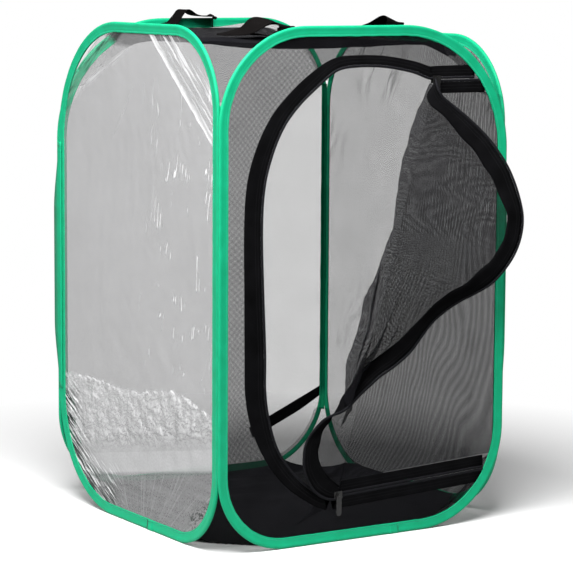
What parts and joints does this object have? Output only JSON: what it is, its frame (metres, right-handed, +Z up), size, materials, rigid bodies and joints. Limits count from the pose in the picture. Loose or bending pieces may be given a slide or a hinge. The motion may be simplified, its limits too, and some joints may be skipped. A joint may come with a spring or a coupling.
{
  "type": "pop-up insect cage",
  "caption": "Pop-up fabric insect cage: sprung hoops in folded binding, clear and mesh walls, cloth roof and floor, zipped door with slider pulls standing open, webbing carry handles.",
  "frame": {"origin": "middle of the floor's flat underside, on the ground", "axes": "+Z up; -Y is the front wall with the zipped door; -X is the clear wall"},
  "size_m": [0.4018, 0.4716, 0.6119],
  "materials": {
    "green_binding": "satin woven",
    "spring_steel": "drawn wire",
    "black_mesh": "fine net",
    "clear_sheet": "clear soft film",
    "black_cloth": "plain woven",
    "zip_tape": "ribbed woven",
    "zip_coil": "nylon",
    "zip_metal": "black satin",
    "webbing": "herringbone woven"
  },
  "bodies": {
    "front": {"front_binding": "green_binding", "front_wire": "spring_steel", "front_surround_mesh": "black_mesh", "door_panel_mesh": "black_mesh", "zip_tape_surround": "zip_tape", "zip_coil_surround": "zip_coil", "zip_tape_panel_upper": "zip_tape", "zip_tape_panel_lower": "zip_tape", "zip_coil_panel_upper": "zip_coil", "zip_coil_panel_lower": "zip_coil", "roof_mesh": "black_mesh", "floor_cloth": "black_cloth", "corner_strip_front_left": "green_binding", "corner_strip_front_right": "green_binding", "front_handle_end_left": "webbing", "front_handle_end_right": "webbing"},
    "right": {"right_binding": "green_binding", "right_wire": "spring_steel", "right_mesh": "black_mesh", "corner_strip_back_right": "green_binding"},
    "back": {"back_binding": "green_binding", "back_wire": "spring_steel", "back_mesh": "black_mesh", "storage_strap": "webbing", "back_handle_end_left": "webbing", "back_handle_end_right": "webbing"},
    "left": {"left_binding": "green_binding", "left_wire": "spring_steel", "clear_window": "clear_sheet", "corner_strip_back_left": "green_binding"},
    "door_flap": {"door_flap_mesh": "black_mesh", "zip_tape_flap": "zip_tape", "zip_coil_flap": "zip_coil"},
    "slider_upper": {"slider_upper": "zip_metal"},
    "slider_lower": {"slider_lower": "zip_metal"},
    "pull_upper": {"pull_upper": "zip_metal"},
    "pull_lower": {"pull_lower": "zip_metal"},
    "front_handle": {"front_handle": "webbing"},
    "back_handle": {"back_handle": "webbing"}
  },
  "joints": [
    {"name": "right_fold", "type": "hinge", "parent": "front", "child": "right", "pos_m": [0.2, -0.2, 0], "axis": [0, 0, -1], "range_deg": [0, 84], "deforming": ["roof_mesh", "floor_cloth", "corner_strip_front_right", "front_handle"]},
    {"name": "back_fold", "type": "hinge", "parent": "right", "child": "back", "pos_m": [0.196, 0.196, 0], "axis": [0, 0, 1], "range_deg": [0, 84], "deforming": ["corner_strip_back_right"]},
    {"name": "left_fold", "type": "hinge", "parent": "front", "child": "left", "pos_m": [-0.196, -0.196, 0], "axis": [0, 0, -1], "range_deg": [0, 84], "deforming": ["corner_strip_front_left", "corner_strip_back_left"]},
    {"name": "door_swing", "type": "hinge", "parent": "front", "child": "door_flap", "pos_m": [-0.03811, -0.198, 0.05478], "axis": [0.2665, 0, 0.9638], "range_deg": [-60, 20], "deforming": ["door_flap_mesh", "zip_tape_flap", "zip_coil_flap"]},
    {"name": "slider_upper_slide", "type": "slide", "parent": "front", "child": "slider_upper", "axis": [1, 0, 0], "range_m": [0, 0.048]},
    {"name": "slider_lower_slide", "type": "slide", "parent": "front", "child": "slider_lower", "axis": [0.9987, 0, 0.0501], "range_m": [0, 0.18]},
    {"name": "pull_upper_swing", "type": "hinge", "parent": "slider_upper", "child": "pull_upper", "pos_m": [0.09502, -0.2005, 0.53622], "axis": [0, -1, 0], "range_deg": [-5, 80]},
    {"name": "pull_lower_swing", "type": "hinge", "parent": "slider_lower", "child": "pull_lower", "pos_m": [-0.03811, -0.2005, 0.05478], "axis": [0, -1, 0], "range_deg": [-80, 80]},
    {"name": "front_handle_swing", "type": "hinge", "parent": "front", "child": "front_handle", "pos_m": [0, -0.1951, 0.6003], "axis": [1, 0, 0], "range_deg": [0, 75]},
    {"name": "back_handle_swing", "type": "hinge", "parent": "back", "child": "back_handle", "pos_m": [0, 0.1951, 0.6003], "axis": [-1, 0, 0], "range_deg": [0, 75]}
  ],
  "couplings": [
    {"joint": "back_fold", "follows": "right_fold", "ratio": 1},
    {"joint": "left_fold", "follows": "right_fold", "ratio": 1}
  ]
}
